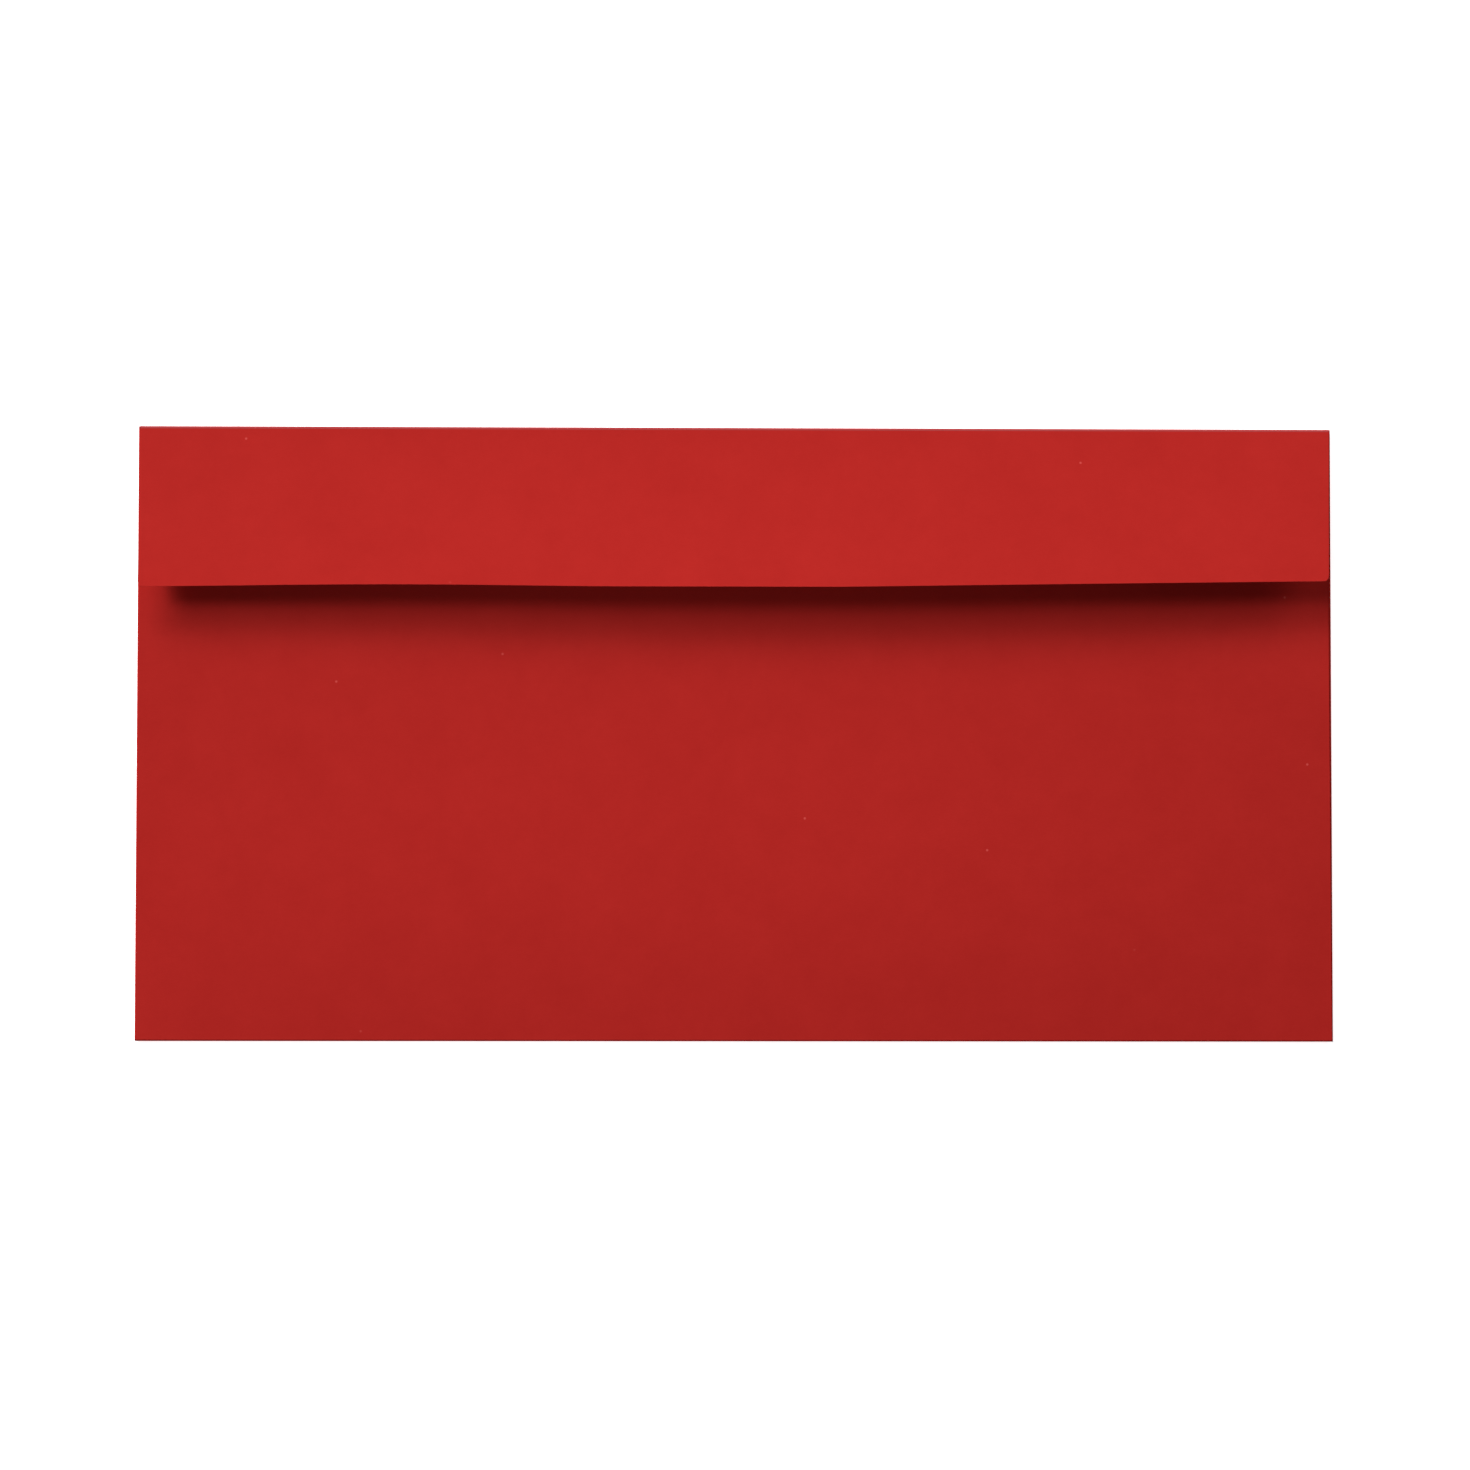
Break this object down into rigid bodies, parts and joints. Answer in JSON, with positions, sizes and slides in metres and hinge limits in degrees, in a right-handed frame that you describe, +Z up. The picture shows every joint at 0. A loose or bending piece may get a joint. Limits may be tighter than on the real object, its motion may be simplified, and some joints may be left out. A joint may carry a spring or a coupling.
{
  "type": "wallet envelope",
  "caption": "Long rectangular paper envelope with a straight, slightly raised seal flap along one long edge, side-seamed pocket and peel-off liner.",
  "frame": {"origin": "middle of the address side, on the surface the envelope lies on", "axes": "+X along the envelope, +Y towards the seal flap's crease, +Z up out of the back panel"},
  "size_m": [0.225, 0.1156, 0.0045],
  "materials": {
    "red_paper": "uncoated, dyed through, matt",
    "seam_glue": "dried dextrin glue, thin and yellowish",
    "seal_adhesive": "clear tacky hot-melt film",
    "release_liner": "white glassine with a smooth silicone face"
  },
  "bodies": {
    "pocket": {"front_panel": "red_paper", "left_fold": "red_paper", "right_fold": "red_paper", "left_side_flap": "red_paper", "right_side_flap": "red_paper", "left_seam_glue": "seam_glue", "right_seam_glue": "seam_glue", "bottom_fold": "red_paper", "back_panel": "red_paper", "flap_fold": "red_paper"},
    "flap": {"seal_flap": "red_paper", "seal_adhesive": "seal_adhesive"},
    "liner": {"release_liner": "release_liner"}
  },
  "joints": [
    {"name": "flap_hinge", "type": "hinge", "parent": "pocket", "child": "flap", "pos_m": [0, 0.05726, 0.00054], "axis": [-1, 0, 0], "range_deg": [-6.5, 173.5], "stiffness_Nm_per_rad": 0.0006, "springref_deg": 11.46, "deforming": ["flap_fold"]},
    {"name": "liner_pull", "type": "slide", "parent": "flap", "child": "liner", "axis": [1, 0, 0], "range_m": [0, 0.22]}
  ]
}
